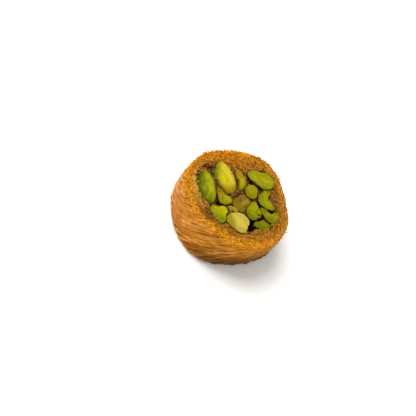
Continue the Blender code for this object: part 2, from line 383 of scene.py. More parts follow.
def make_bed():
    tree = Recipe("packed_bed")
    swell = tree.size("Swell", 0.22 * MM)
    spread = tree.size("Spread into the pastry", 0.5 * MM)
    crumb_height = tree.size("Crumb height", 0.9 * MM)
    fill = tree.size("Fill between the kernels", 0.85 * MM)
    bank = tree.size("Bank at the pastry", 1.75 * MM)
    dip = tree.size("Dip at the deep side", 1.3 * MM)
    rough = (tree.clouds(tree.position, 1.4 * MM, detail=3) - 0.5) * crumb_height
    gap = tree.add("GeometryNodeProximity", {"target_element": "FACES"}, {0: tree.form(ring_form)}, out=1)
    outer = tree.ease(gap, 3.4 * MM, 0.7 * MM)
    bed = tree.keep(tree.start, "outer", outer)
    edge = tree.ease(gap, 1.3 * MM, 0.5 * MM)
    bed = tree.moved(bed, {"Offset": tree.normal * (swell + rough + edge * spread)})
    x, y, z = tree.parts(tree.position)
    sunk = 0.0
    for hole_x, hole_y, radius, depth in BED_HOLES:
        middle = RIM_CENTRE + Vector((hole_x, hole_y, 0)) * MM
        away = tree.length(tree.vector(x - middle.x, y - middle.y, 0.0))
        sunk = tree.ease(away, 0.3 * radius * MM, radius * MM, depth * MM, 0.0) + sunk
    upper = tree.ease(z, 11 * MM, 15 * MM)
    heading = tree.maths("NORMALIZE", tree.vector(x - RIM_CENTRE.x, y, 0.0))
    deep = tree.maths("MAXIMUM", tree.dot(heading, DEEP_SIDE), 0.0)
    low = tree.ease(tree.dot(heading, LOW_SIDE), 0.72, 0.96) * (1.0 * MM)
    banked = tree.kept("outer") * (bank - deep * dip - low - fill) + fill
    bed = tree.moved(bed, {"Offset": tree.vector(0.0, 0.0, (banked - sunk) * upper)})
    tree.serve(bed, bed_finish())
    remesh = ("REMESH", {"mode": "VOXEL", "voxel_size": 0.36 * MM})
    mesh = worked(solid_form("filling"), remesh, ("SMOOTH", {"factor": 0.5, "iterations": 2}), tree)
    return add_piece("soaked_bed", mesh, "filling", "filling")


soaked_bed = make_bed()


# KERNELS
# Whole shelled pistachios, glazed by the syrup. The knife took the tops off most of them, and in the gaps
# between them their thin purple skins show. The pastry's pressure holds them in the pockets of the bed.

SKIN = paint(44, 16, 10)
PIT = paint(88, 84, 6)
FILM = paint(214, 200, 128)
SINGLE_TOP = 2.1  # mm from a kernel's widest level up to its top, unless its look says more

# turn: degrees of the long axis. cut: mm above the widest level at which the knife took the top off, if it
# did, and tilt: the slope of that cut along and across. dark, light: the flesh. flank: one side, towards an
# angle in the kernel, from a reach outwards. ridge: a streak along it of ridge_colour, at a share of the
# half width, and crest: its height. ends: tints of the two ends. film: how whitish its streaks are. dent,
# wrinkle: the relief's depth. pit: a dark spot, as x, y and radius. cracks: dark lines, each from x, y to
# x, y. crack_depth: how dark they are. bites: what broke out of its edge, each as x, y and radius. outline:
# how far it leaves the smooth oval, outwards, in sixteen directions of the cut face from +X round. Every x
# and y is in mm from the face's centre, and every other length is in mm.
KERNEL_LOOKS = {
    "kernel_01_long": dict(
        turn=-42, dark=(105, 114, 0), light=(155, 153, 5), flank=(70, 88, 0), towards=-98, reach=0.50,
        ridge=0.15, ridge_colour=(171, 167, 17), crest=0.35, dent=0.55, wrinkle=0.22, top=3.0,
        cracks=((-17.0, -5.1, -10.2, -12.2),), crack_depth=0.25,
        outline=(0, 0, 0, 0.1, 0.2, 0.2, 0.1, 0, 0.1, 0.3, 0.7, 0.9, 0.8, 0.4, 0.1, 0)),
    "kernel_02_long_pale": dict(
        turn=-35, dark=(174, 158, 0), light=(200, 184, 14), flank=(108, 114, 2), towards=-118, reach=0.68,
        ridge=0.1, ridge_colour=(206, 190, 58), crest=0.45, dent=0.55, wrinkle=0.22, top=3.3, film=0.16,
        ends=((172, 152, 50), (170, 116, 14)), cracks=((-13.4, 4.6, -3.6, 0.2),), crack_depth=0.22,
        outline=(0.2, 0.3, 0.2, 0.2, 0.2, 0.3, 0.1, 0, 0.3, 0.8, 0.9, 0.5, 0.3, 0.3, 0.5, 0.4)),
    "kernel_03_slim": dict(
        turn=-56, dark=(134, 119, 1), light=(159, 148, 3), flank=(152, 112, 4), towards=175, reach=0.2,
        ridge=0.3, ridge_colour=(165, 146, 13), crest=0.2, dent=0.5, wrinkle=0.15, top=2.0,
        outline=(0.3, 0.4, 0.5, 0.4, -0.2, -0.5, 0.3, 1.3, 0.9, -0.2, -0.9, -1.1, -1.1, -0.7, -0.1, 0.2)),
    "kernel_04_large": dict(
        turn=27, dark=(130, 130, 2), light=(160, 153, 8), flank=(110, 115, 2), towards=100, reach=0.8,
        ridge=-0.3, ridge_colour=(164, 154, 11), dent=0.5, wrinkle=0.22, top=2.4, cut=1.9,
        tilt=(0.02, -0.08), cracks=((5.2, 14.3, 7.6, 14.3), (0.5, 16.1, 5.0, 15.6)),
        outline=(0.1, -0.3, -0.4, -0.3, -0.5, -0.7, -0.8, -0.9, -0.4, 0.5, 0.9, 0.5, 0.2, 0.6, 0.8, 0.6)),
    "kernel_05_round": dict(
        turn=86, dark=(135, 126, 1), light=(146, 135, 3), flank=(118, 109, 1), towards=180, reach=0.85,
        ridge=0.0, ridge_colour=(144, 133, 7), dent=0.18, wrinkle=0.05, cut=1.7, tilt=(0, -0.04),
        oval=True, swell=0.32,
        outline=(-0.2, -0.3, -0.4, -0.4, -0.3, -0.2, -0.1, 0, 0.1, 0.2, 0.4, 0.6, 0.7, 0.9, 0.8, 0.3)),
    "kernel_06_bean": dict(
        turn=-43, dark=(121, 121, 2), light=(148, 142, 5), flank=(101, 103, 1), towards=90, reach=0.9,
        ridge=-0.2, ridge_colour=(151, 144, 9), dent=0.35, wrinkle=0.19, cut=1.75, tilt=(0.04, 0),
        bites=((12.3, 11.9, 2.2),),
        outline=(0.9, 0.4, -2.3, -3.1, 1.4, 1.8, 0.8, 0.2, 0.3, 0.3, 0.3, 0.4, 0.4, 0.3, 0.1, 0.3)),
    "kernel_07_bean": dict(
        turn=35, dark=(113, 113, 1), light=(137, 130, 4), flank=(92, 93, 1), towards=90, reach=0.9,
        ridge=-0.2, ridge_colour=(146, 139, 10), dent=0.30, wrinkle=0.19, cut=1.75, tilt=(-0.03, 0.03),
        bites=((15.3, 6.0, 1.8), (14.5, 5.5, 1.4)),
        outline=(-0.1, -0.2, 0.2, 1.3, 1.2, -1.8, -2.4, -0.5, 1.1, 1.2, 0.5, 0.6, 0.6, 0.5, 0.3, 0)),
    "kernel_08_five_sided": dict(
        turn=92, dark=(126, 128, 2), light=(153, 147, 7), flank=(97, 104, 2), towards=180, reach=0.75,
        ridge=0.2, ridge_colour=(158, 151, 13), pit=(12.4, -0.5, 0.9), dent=0.5, wrinkle=0.19, cut=1.85,
        tilt=(0.04, 0), bites=((13.1, -2.4, 0.9),),
        cracks=((8.1, -1.4, 10.6, -1.0), (10.6, -1.0, 12.6, -0.2), (10.6, -1.0, 10.3, 2.1)),
        outline=(0.2, -0.2, -0.7, -0.9, -1.0, -0.1, 0.5, -0.1, 0, 0.2, 0.4, 0.5, 0.5, 0.6, 0.5, 0.4)),
    "kernel_09_small": dict(
        turn=38, dark=(99, 100, 2), light=(125, 121, 3), flank=(81, 81, 1), towards=0, reach=0.8,
        ridge=0.0, ridge_colour=(123, 120, 5), dent=0.35, wrinkle=0.19, cut=1.85, tilt=(0, 0.04),
        outline=(0, -0.4, -0.9, -1.0, -0.7, -0.5, -0.4, -0.4, -0.6, -0.5, 1.1, 0.5, 0.3, 0.2, 0.2, 0.2)),
    "kernel_10_pale": dict(
        turn=-8, dark=(178, 156, 50), light=(192, 170, 82), flank=(136, 124, 4), towards=-122, reach=0.8,
        ridge=-0.2, ridge_colour=(207, 186, 52), dent=0.5, wrinkle=0.16, top=2.3, film=0.3, cut=2.0,
        tilt=(0, -0.06), bites=((12.4, -9.6, 1.1),),
        outline=(-0.4, -0.3, -0.2, -0.4, -0.4, -0.4, -0.4, -0.4, -0.1, 0.6, 1.2, 1.1, 0.6, 0.6, 0.6, 0.1)),
    "kernel_11_three_sided": dict(
        turn=0, dark=(144, 144, 2), light=(173, 165, 7), flank=(114, 120, 1), towards=-57, reach=0.6,
        ridge=0.35, ridge_colour=(178, 169, 12), crest=0.3, dent=0.4, wrinkle=0.19, cut=2.1,
        tilt=(0, 0), cracks=((-5.2, -15.1, -2.9, -14.2),),
        outline=(-1.1, -0.7, -0.5, -0.3, -0.1, -0.1, -0.3, -0.4, 0.1, 0.8, 0.3, 0.3, 0.5, 0.9, 0.4, -0.8)),
    "kernel_12_three_sided": dict(
        turn=0, dark=(135, 125, 2), light=(160, 148, 5), flank=(106, 97, 0), towards=155, reach=0.5,
        ridge=-0.1, ridge_colour=(163, 152, 9), dent=0.4, wrinkle=0.19, cut=1.85, tilt=(0, -0.06),
        cracks=((-5.7, -4.9, -4.0, -7.7),),
        outline=(0.2, -0.5, -1.0, -1.2, -1.4, -1.6, -0.9, 0.4, 0.6, 0.3, 0.1, 0.3, 0.8, 1.0, 0.8, 0.6)),
    "kernel_13_soaked": dict(
        turn=88, dark=(98, 72, 2), light=(132, 102, 10), flank=(116, 99, 5), towards=180, reach=0.6,
        ridge=-0.5, ridge_colour=(163, 139, 46), dent=0.6, wrinkle=0.3, top=1.5, film=0.4, cut=1.3,
        tilt=(0, 0),
        outline=(0.1, 0.3, 0.5, 0.2, -0.1, 0, -0.1, -0.2, -0.2, 0, 0.6, 1.2, 1.2, 1.4, 1.3, 0.5)),
    "kernel_14_shard": dict(
        turn=-28, dark=(146, 116, 16), light=(177, 150, 35), flank=(127, 100, 10), towards=-60, reach=0.7,
        ridge=0.2, ridge_colour=(198, 173, 56), dent=0.3, wrinkle=0.40, top=1.2, film=0.5,
        outline=(0.8, -0.3, -0.7, -0.6, -0.4, -0.6, -0.9, -1.2, -0.4, 0.8, 0.6, 0.2, 0.6, 0.2, -0.2, 0.7)),
}
BASE_KERNEL_COUNT = 11
BASE_KERNEL_TINTS = (
    dict(dark=(134, 136, 4), light=(164, 158, 14), flank=(106, 112, 4)),
    dict(dark=(164, 152, 10), light=(192, 176, 34), flank=(124, 126, 6)),
    dict(dark=(120, 124, 4), light=(150, 146, 10), flank=(90, 96, 2)),
)
PUSH_SPREAD = 0.86  # cosine of the angle from a direction at which its push has died away


def middle_of(node):
    low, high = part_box(node)
    return (low + high) / 2, (high - low) / 2


def kernel_finish(node, look, up):
    """Glazed pistachio flesh: streaks along the kernel, a ridge, a greener flank, painted shade towards its
    edge and where it slopes away, and skin below its edge.
    """
    middle, half = middle_of(node)
    flesh = Finish(node + "_flesh")
    x, y, z = flesh.parts(flesh.turned(flesh.place, middle, -math.radians(look["turn"])))
    half_length = max(half.x, half.y)
    half_width = min(half.x, half.y)
    flank_tint = paint(*look["flank"])
    streaks = flesh.clouds(flesh.vector(x * 0.28, y, z * 0.6), 0.75 * MM, detail=3, distortion=0.4)
    blotches = flesh.clouds(flesh.place, 2.4 * MM, detail=2)
    mottle = streaks * 0.55 + blotches * 0.45
    colour = flesh.blend(flesh.ease(mottle, 0.38, 0.62), paint(*look["dark"]), paint(*look["light"]))
    ridge = flesh.ease(flesh.maths("ABSOLUTE", y / half_width - look["ridge"]), 0.0, 0.38, 1.0, 0.0)
    colour = flesh.blend(ridge * 0.55, colour, paint(*look["ridge_colour"]))
    angle = math.radians(look["towards"])
    aside = x / half_length * math.cos(angle) + y / half_width * math.sin(angle)
    flank = flesh.ease(aside + (blotches - 0.5) * 0.6, look["reach"] * 0.35, look["reach"] * 1.1 + 0.1)
    colour = flesh.blend(flank * 0.9, colour, flank_tint)
    # Painted shade: the flesh darkens to its flank tint towards the edge of the kernel's oval.
    out = flesh.length(flesh.vector(x / half_length, y / half_width, 0.0)) + (blotches - 0.5) * 0.3
    colour = flesh.blend(flesh.ease(out, 0.55, 1.05) * 0.42, colour, flank_tint)
    for side, tint in zip((-1, 1), look.get("ends", ())):
        end = flesh.ease(x * (side / half_length) + (streaks - 0.5) * 0.5, 0.62, 0.98)
        colour = flesh.blend(end * 0.6, colour, paint(*tint))
    film = flesh.clouds(flesh.vector(x * 0.32, y, z), 1.15 * MM, detail=3, distortion=1.2)
    film = flesh.ease(film, 0.52, 0.68) * (1 - flank * 0.8) * look.get("film", 0.03)
    colour = flesh.blend(film, colour, FILM)
    pits = flesh.ease(flesh.cells(flesh.place, 2.1 * MM), 0.05, 0.16, 1.0, 0.0)
    warped = flesh.place + flesh.clouds(flesh.place, 1.4 * MM, out="Color") * (1.6 * MM)
    veins = flesh.ease(flesh.cells(warped, 3.2 * MM, "DISTANCE_TO_EDGE"), 0.0, 0.05, 1.0, 0.0)
    colour = flesh.blend(flesh.maths("MAXIMUM", pits * 0.4, veins * 0.07), colour, PIT)
    flat = (flesh.place - RIM_CENTRE) * Vector((1, 1, 0))
    if "pit" in look:
        pit_x, pit_y, radius = look["pit"]
        away = flesh.length(flat - Vector((pit_x, pit_y, 0)) * MM)
        colour = flesh.blend(flesh.ease(away, radius * MM, 0.4 * radius * MM) * 0.9, colour, SKIN)
    cracked = 0.0
    for from_x, from_y, to_x, to_y in look.get("cracks", ()):
        begin = Vector((from_x, from_y, 0)) * MM
        run = Vector((to_x, to_y, 0)) * MM - begin
        share = flesh.add("ShaderNodeClamp", {}, {0: flesh.dot(flat - begin, run / run.length_squared)})
        away = flesh.length(flat - begin - share * run) + (streaks - 0.5) * (0.5 * MM)
        cracked = flesh.maths("MAXIMUM", flesh.ease(away, 0.42 * MM, 0.08 * MM), cracked)
    cracked = cracked * look.get("crack_depth", 0.5)
    colour = flesh.blend(cracked, colour, paint(*(0.55 * step for step in look["flank"])))
    # Painted shade: the flesh darkens where its surface turns away from straight up; the steepest sides below
    # take the skin colour.
    facing = flesh.parts(flesh.add("ShaderNodeNewGeometry", {}, {}, out="Normal"))[2] * up
    facing = facing + (streaks - 0.5) * 0.3
    shaded = paint(*(0.75 * step for step in look["flank"]))
    colour = flesh.blend(flesh.ease(facing, 0.78, 0.35) * 0.75, colour, shaded)
    colour = flesh.blend(flesh.ease(facing, 0.32, 0.07), colour, SKIN)
    grain = flesh.clouds(flesh.vector(x * 0.4, y, z), 0.35 * MM, detail=3)
    slope = flesh.bump(grain * 0.7 + blotches - veins * 0.15 - cracked, 0.15 * MM)
    rough = flesh.ease(grain, 0.3, 0.7, 0.34, 0.52)
    wet = flesh.ease(flesh.clouds(flesh.place, 1.7 * MM, detail=2), 0.56, 0.66) * 0.3
    return flesh.glaze(colour, rough, 0.06, slope, **{"Coat Weight": wet, "Coat Roughness": 0.10})


def kernel_relief(node, look, material):
    """Pushes the outline to its corners, bites its edge, dents and wrinkles it, and cuts its top flat."""
    middle, half = middle_of(node)
    tree = Recipe(node + "_relief")
    swell = tree.size("Swell", look.get("swell", 0.28) * MM)
    dent = tree.size("Dent", look["dent"] * MM)
    wrinkle = tree.size("Wrinkle", look["wrinkle"] * MM)
    widest = middle.z + half.z - look.get("top", SINGLE_TOP) * MM
    turn = -math.radians(look["turn"])
    kernel = tree.start
    if "outline" in look:
        x, y, z = tree.parts(tree.position - middle)
        flat = tree.vector(x, y, 0.0)
        out = tree.maths("NORMALIZE", flat)
        reach = tree.ease(tree.length(flat), 0.0, min(half.x, half.y))
        shift = Vector((0, 0, 0))
        for step, amount in enumerate(look["outline"]):
            heading = level(360 * step / len(look["outline"]))
            share = tree.ease(tree.dot(out, heading), PUSH_SPREAD, 1.0)
            shift = share * heading * (amount * MM) + shift
        kernel = tree.moved(kernel, {"Offset": shift * reach})
    for bite_x, bite_y, radius in look.get("bites", ()):
        spot = RIM_CENTRE + Vector((bite_x, bite_y, 0)) * MM
        away = (tree.position - spot) * Vector((1, 1, 0))
        gone = tree.length(away)
        share = tree.maths("MAXIMUM", radius * MM - gone, 0.0) / (gone + 0.05 * MM)
        kernel = tree.moved(kernel, {"Offset": away * share})
    x, y, z = tree.parts(tree.turned(tree.position, middle, turn))
    dents = tree.clouds(tree.position, 3.2 * MM, detail=1) - 0.5
    furrows = tree.clouds(tree.vector(x * 0.22, y, z * 0.5), 1.1 * MM, detail=2, distortion=0.3) - 0.5
    kernel = tree.moved(kernel, {"Offset": tree.normal * (swell + dents * dent + furrows * wrinkle)})
    if "crest" in look:
        crest = tree.size("Crest", look["crest"] * MM)
        across = tree.maths("ABSOLUTE", y / min(half.x, half.y) - look["ridge"])
        upper = tree.ease(tree.parts(tree.position)[2], widest, widest + 2 * MM)
        ridge = tree.ease(across, 0.7, 0.0) * upper * crest
        kernel = tree.moved(kernel, {"Offset": tree.vector(0.0, 0.0, ridge)})
    if "cut" in look:
        depth = tree.size("Cut", look["cut"] * MM)
        tilt_x, tilt_y = look["tilt"]
        top = tree.parts(tree.position)[2] - widest
        raised = tree.maths("MAXIMUM", top * 2.1, top)
        uneven = (tree.clouds(tree.position, 1.8 * MM) - 0.5) * (0.45 * MM)
        sockets = {0: raised, 1: x * tilt_x + y * tilt_y + uneven + depth, 2: 0.15 * MM}
        flat = tree.add("ShaderNodeMath", {"operation": "SMOOTH_MIN"}, sockets)
        kernel = tree.moved(kernel, {"Offset": tree.vector(0.0, 0.0, flat - top)})
    return tree.serve(kernel, material)


def slot_of(node):
    """The record's material slot of a CAD node."""
    for part in frame["record"]["subparts"]:
        if part["node"] == node:
            return part["material_slot"]
    return "kernel"


def make_kernel(node, look, up, levels):
    kind = "CATMULL_CLARK" if look.get("oval") else "SIMPLE"
    corners = ("SUBSURF", {"subdivision_type": kind, "levels": 1, "render_levels": 1})
    rounding = ("SUBSURF", {"levels": levels, "render_levels": levels})
    relief = kernel_relief(node, look, kernel_finish(node, look, up))
    add_piece("glazed_" + node, worked(solid_form(node), corners, rounding, relief), slot_of(node), node)


def make_kernels():
    for node, look in KERNEL_LOOKS.items():
        make_kernel(node, look, 1, 2)
    for number in range(1, BASE_KERNEL_COUNT + 1):
        node = f"base_kernel_{number:02d}"
        middle, half = middle_of(node)
        look = dict(turn=math.degrees(math.atan2(middle.y, middle.x)) + 90, towards=120, reach=0.7, ridge=0.1)
        look.update(dent=0.4, wrinkle=0.14, ridge_colour=(176, 168, 24), **BASE_KERNEL_TINTS[number % 3])
        make_kernel(node, look, -1, 1)


make_kernels()


# PASTRY BODY
# The imported inside of the wound sheet: hundreds of layers of baked, syrup-soaked strands that only show as
# a dark ground between the strands on the side, and as a porous crumb on the two cut faces. That darkness is
# painted shade, most on the side.

EDGE = paint(234, 154, 10)
# Painted light: a brighter orange for the left of the cut face, the side towards the lamp.
PAINTED_LIGHT_ORANGE = paint(252, 164, 0)
CRUMB = paint(204, 122, 10)
PALE = paint(236, 182, 92)
SOAKED = paint(204, 114, 0)
BROWNED = paint(140, 80, 30)
# A dark brown for syrup pooled on the cut face and for painted shade at the foot of the side.
WET = paint(100, 58, 8)
SYRUP_AND_SHADE_BROWN = paint(96, 53, 12)
SIDE_LOW, SIDE_HIGH = paint(196, 110, 16), paint(220, 138, 38)
# Painted shade: a dark brown for the body showing between the strands and for strands that lie deeper.
PAINTED_SHADE_BROWN = paint(94, 52, 6)
WET_SPOT = Vector((-4.9, -18.4, 0.0)) * MM  # from the face's centre

# Directions over the cut face, named as they lie in the photograph. They are divided by the roll's radius, so
# that the dot product of a place with one of them goes from 0 at the centre to 1 at the rim.
ROLL_RADIUS = 25 * MM
TO_LEFT = Vector((-0.985, -0.17, 0)) / ROLL_RADIUS
TO_NEAR_LEFT = Vector((-0.62, -0.78, 0)) / ROLL_RADIUS
TO_NEAR = Vector((0.34, -0.94, 0)) / ROLL_RADIUS
TO_NEAR_RIGHT = Vector((0.75, -0.66, 0)) / ROLL_RADIUS
TO_RIGHT = Vector((0.72, 0.69, 0)) / ROLL_RADIUS
TO_FAR_LEFT = Vector((-0.77, 0.64, 0)) / ROLL_RADIUS

# The ring's two outlines on the cut face: a radius in mm, and its lobes as how many, share of the radius
# and the degrees of one peak.
RIM = (24.7, ((3, 0.0475, -27), (4, 0.010, 4), (5, 0.016, 13)))
HOLLOW = (19.1, ((1, 0.022, 25), (2, 0.067, 18), (3, 0.029, -55), (4, 0.030, -2)))


def lobed(nodes, outline, angle):
    """The outline's radius in a direction, in metres."""
    radius, lobes = outline
    share = 1.0
    for count, size, peak in lobes:
        share = nodes.maths("COSINE", (angle - math.radians(peak)) * count) * size + share
    return share * (radius * MM)


def pastry_tint(finish, tone):
    """Baked pastry: bright orange at the rim, browner towards the kernels, darker where syrup pooled. Painted
    light on the left of the cut face and on a few pale strands of the side, and painted shade towards the
    foot of the side.
    """
    x, y, z = finish.parts(finish.place)
    flat = finish.vector(x - RIM_CENTRE.x, y - RIM_CENTRE.y, 0.0)
    out = finish.length(flat)
    near = finish.dot(flat, TO_NEAR)
    right = finish.dot(flat, TO_RIGHT)
    near_right = finish.dot(flat, TO_NEAR_RIGHT)
    patches = finish.clouds(finish.place, 5.0 * MM, detail=2)
    uneven = patches - 0.5
    fine = finish.clouds(finish.place, 1.2 * MM, detail=3)
    angle = finish.maths("ARCTAN2", y - RIM_CENTRE.y, x - RIM_CENTRE.x)
    hollow = lobed(finish, HOLLOW, angle)
    across = (out - hollow) / (lobed(finish, RIM, angle) - hollow)
    wall = finish.ease(z, HEIGHT - 0.4 * MM, HEIGHT - 2.4 * MM) * finish.ease(out, 22.5 * MM, 24 * MM)

    # Towards the kernels: tinted by side, with painted light on the left, and wet beside the bed.
    inner = finish.blend(finish.ease(right + uneven * 0.4, 0.1, 0.6), SOAKED, BROWNED)
    inner = finish.blend(finish.ease(finish.dot(flat, TO_LEFT), 0.1, 0.9) * 0.62, inner, PAINTED_LIGHT_ORANGE)
    crumb = finish.ease(finish.dot(flat, TO_NEAR_LEFT) + uneven * 0.6, 0.1, 0.7)
    crumb = crumb * finish.ease(across, 0.62, 0.22)
    inner = finish.blend(crumb, inner, PALE)
    inner = finish.blend(finish.ease(near + uneven * 0.6, 0.2, 0.8) * 0.72, inner, WET)
    close_by = finish.ease(across, 0.7, 0.15)
    inner = finish.blend(finish.ease(right + uneven * 0.4, 0.45, 0.9) * (close_by * 0.35 + 0.4), inner, WET)
    inner = finish.blend(finish.ease(near, 0.1, 0.7) * close_by * 0.45, inner, WET)
    inner = finish.blend(finish.ease(across, 0.20, -0.08) * (0.6 - crumb * 0.5), inner, WET)

    # At the rim, with painted light on the far left, and the share of each between.
    edge = finish.blend(finish.ease(finish.dot(flat, TO_FAR_LEFT), 0.1, 0.9) * 0.85, EDGE, PAINTED_LIGHT_ORANGE)
    edge = finish.blend(finish.ease(right + uneven * 0.6, 0.2, 0.9) * 0.7, edge, BROWNED)
    colour = finish.blend(finish.ease(across + uneven * 0.7, 0.98, 0.36), edge, inner)
    colour = finish.blend(finish.ease(fine, 0.52, 0.70) * 0.5, colour, CRUMB)

    # The side wall, and each strand's own tone.
    colour = finish.blend(wall, colour, finish.blend(finish.ease(patches, 0.35, 0.68), SIDE_LOW, SIDE_HIGH))
    darker = finish.blend(0.5, colour, paint(138, 74, 0))
    lighter = finish.blend(0.46, colour, paint(252, 190, 66))
    colour = finish.blend(finish.ease(tone, 0.0, 1.0), darker, lighter)
    # A few strands on the side painted pale at random, as painted highlights along them.
    colour = finish.blend(finish.ease(tone, 0.85, 1.15) * wall * 0.55, colour, paint(255, 214, 140))

    # Painted shade towards the foot of the side, most on the near right, and syrup that pooled on the cut
    # face.
    foot = finish.ease(z + uneven * (4 * MM) - near_right * (4 * MM), 12 * MM, -1 * MM)
    foot = foot * (finish.ease(near_right, 0.6, 0.95) * 0.65 + 0.22)
    pooled = finish.ease(finish.length(flat - WET_SPOT) + (fine - 0.5) * (3 * MM), 5.2 * MM, 1.6 * MM) * 0.66
    near_bed = finish.ease(right, 0.35, 0.8) * finish.ease(across, 0.55, 0.1) * 0.26
    soaked = finish.maths("MAXIMUM", pooled, near_bed) * (1 - wall)
    return finish.blend(finish.maths("MAXIMUM", foot * wall, soaked), colour, SYRUP_AND_SHADE_BROWN)


def body_finish():
    body = Finish("packed_pastry")
    fine = body.clouds(body.place, 0.7 * MM, detail=3)
    # Painted shade: the body is darkened towards a dark brown, more on the side below the cut face.
    side = body.ease(body.parts(body.place)[2], HEIGHT - 1 * MM, HEIGHT - 4 * MM)
    colour = body.blend(side * 0.14 + 0.44, pastry_tint(body, fine), PAINTED_SHADE_BROWN)
    return body.glaze(colour, 0.6, 0.25, body.bump(fine, 0.3 * MM))


def make_body():
    tree = Recipe("packed_pastry_body")
    inset = tree.size("Inset of the side", 0.32 * MM)
    meet = tree.size("Growth towards the bed", 0.35 * MM)
    shallow = tree.size("Inset of the cut faces", 0.05 * MM)
    pore = tree.size("Pore depth", 1.2 * MM)
    flat = tree.ease(tree.maths("ABSOLUTE", tree.parts(tree.normal)[2]), 0.3, 0.8)
    grain = tree.clouds(tree.position, 0.9 * MM, detail=2) - 0.5
    out = tree.length(tree.position * Vector((1, 1, 0)))
    side = tree.ease(out, 20.5 * MM, 22.5 * MM)
    low = tree.ease(tree.parts(tree.position)[2], 2.0 * MM, 0.4 * MM)
    depth = (grain * pore * (1 - low) - shallow) * flat + (meet - side * (inset + meet)) * (1 - flat)
    body = tree.moved(tree.start, {"Offset": tree.normal * depth})
    tree.serve(body, body_finish())
    remesh = ("REMESH", {"mode": "VOXEL", "voxel_size": 0.34 * MM})
    mesh = worked(solid_form("pastry"), remesh, ("SMOOTH", {"factor": 0.5, "iterations": 2}), tree)
    add_piece("packed_pastry", mesh, "pastry", "pastry")


make_body()


# WOUND STRANDS
# The outer layer of the sheet: thin strands of shredded dough, laid side by side and wound slantwise from
# the base to the cut face. They cling together in locks, with dark cracks between, and some break off
# short.

STRAND_TURN = math.radians(48)
TURN_SPREAD = math.radians(15)  # how much more they turn on the near left side, and less across from it
LOCKS = 40


def strand_finish(name, shine, painted_shade_share):
    strand = Finish(name)
    along = strand.clouds(strand.place, 2.6 * MM, detail=2)
    colour = pastry_tint(strand, strand.stored("tone") + (along - 0.5) * 0.6)
    # Painted shade: strands that lie deeper get darker.
    colour = strand.blend(strand.ease(strand.stored("deep"), 0.35, 1.0) * painted_shade_share, colour, PAINTED_SHADE_BROWN)
    fine = strand.clouds(strand.place, 0.35 * MM, detail=2)
    rough = strand.ease(fine, 0.3, 0.7, 0.42, 0.62)
    return strand.glaze(colour, rough, shine, strand.bump(fine, 0.08 * MM))


strand_material = strand_finish("baked_strands", 0.3, 0.75)
cut_material = strand_finish("cut_strands", 0.12, 0.58)


def strand_recipe(name, amount, lift, seed):
    """Strands wound up the ring's side: each starts in a lane at the base and is laid on the ring."""
    tree = Recipe(name)
    thickness = tree.size("Thickness", 0.26 * MM)
    outward = tree.size("Lift", lift)
    pull = tree.size("Pull into locks", 0.68)
    copies = {"Geometry": tree.line((0, 0, 0), (0, 0, 1), 22), "Amount": amount}
    strands, number = tree.add("GeometryNodeDuplicateElements", {"domain": "SPLINE"}, copies, out=(0, 1))
    strands = tree.keep(strands, "number", number)
    along = tree.kept("along")
    each = tree.kept("number")
    begin = tree.maths("MAXIMUM", tree.chance(-0.9, 0.5, seed, each), 0.0)
    finish = 1 - tree.maths("MAXIMUM", tree.chance(-0.9, 0.5, seed + 1, each), 0.0)
    up = begin + (finish - begin) * along
    lane = (each + tree.chance(-1.2, 1.2, seed + 2, each)) * (math.tau / amount)
    uneven = tree.clouds(tree.round_way(lane), 0.35, detail=2) * 2.6 - 0.3
    lane = lane + tree.maths("SINE", lane * LOCKS) * pull * uneven * (1 / LOCKS)
    stray = tree.chance(0.0, 1.0, seed + 9, each) > 0.86
    steer = tree.chance(-0.05, 0.05, seed + 3, each) * (up - 0.5) * (1 + stray * 6)
    ground = tree.round_way(lane, up * 0.8) * ROLL_RADIUS
    drift = (tree.clouds(ground, 6 * MM, detail=2) - 0.5) * 0.16
    own = tree.vector(each * (3 * MM), up * (9 * MM), 0.0)
    wobble = (tree.clouds(own, 2.2 * MM, detail=1) - 0.5) * 0.035
    turn = tree.maths("COSINE", lane + math.radians(160)) * TURN_SPREAD + STRAND_TURN
    angle = lane + up * turn + drift + wobble + steer
    heading = tree.round_way(angle)
    centre = up * (RIM_CENTRE - BASE_CENTRE) + BASE_CENTRE
    z = up * (HEIGHT - 0.75 * MM) + 0.32 * MM
    source = centre + heading * (40 * MM) + tree.vector(0.0, 0.0, z)
    ray = {0: tree.form(ring_form), 2: source, 3: heading * -1, 4: 60 * MM}
    hit = tree.add("GeometryNodeRaycast", {}, ray, out=1)
    layer = tree.chance(-0.36, 0.36, seed + 4, each)
    roll = (tree.clouds(own + Vector((0, 0, 0.03)), 3.0 * MM, detail=1) - 0.5) * 1.0
    whole_foot = begin < 0.001
    whole_crest = finish > 0.999
    first = tree.ease(along, 0.16, 0.0) * (1 - whole_foot)
    last = tree.ease(along, 0.84, 1.0) * (1 - whole_crest)
    dive = tree.chance(-0.6, 0.9, seed + 5, each)
    bend = tree.ease(along, 0.90, 1.0) * whole_crest
    sunk = (first + last) * dive + bend * tree.chance(0.0, 1.1, seed + 10, each)
    lifted = (layer + roll - sunk) * MM + outward
    crest = bend * tree.chance(0.1, 0.75, seed + 6, each) * MM
    place = hit + heading * lifted + tree.vector(0.0, 0.0, crest)
    strands = tree.keep(strands, "tone", tree.chance(0.0, 1.0, seed + 7, each))
    # Painted shade: how deep a strand lies, which its material darkens; strands set further in get more.
    strands = tree.keep(strands, "deep", 0.30 - (layer + roll))
    strands = tree.moved(strands, {"Position": place})
    own_size = tree.chance(0.7, 1.35, seed + 8, each)
    tips = 1 - tree.ease(tree.maths("ABSOLUTE", along - 0.5), 0.42, 0.5) * 0.35
    return tree.serve(tree.tube(strands, thickness * own_size * tips), strand_material)


def make_strands():
    layers = (("wound_strands", 780, 0.0, 10), ("under_strands", 520, -0.3 * MM, 40))
    for name, amount, lift, seed in layers:
        add_piece(name, grown(strand_recipe(name, amount, lift, seed)), "pastry")


make_strands()


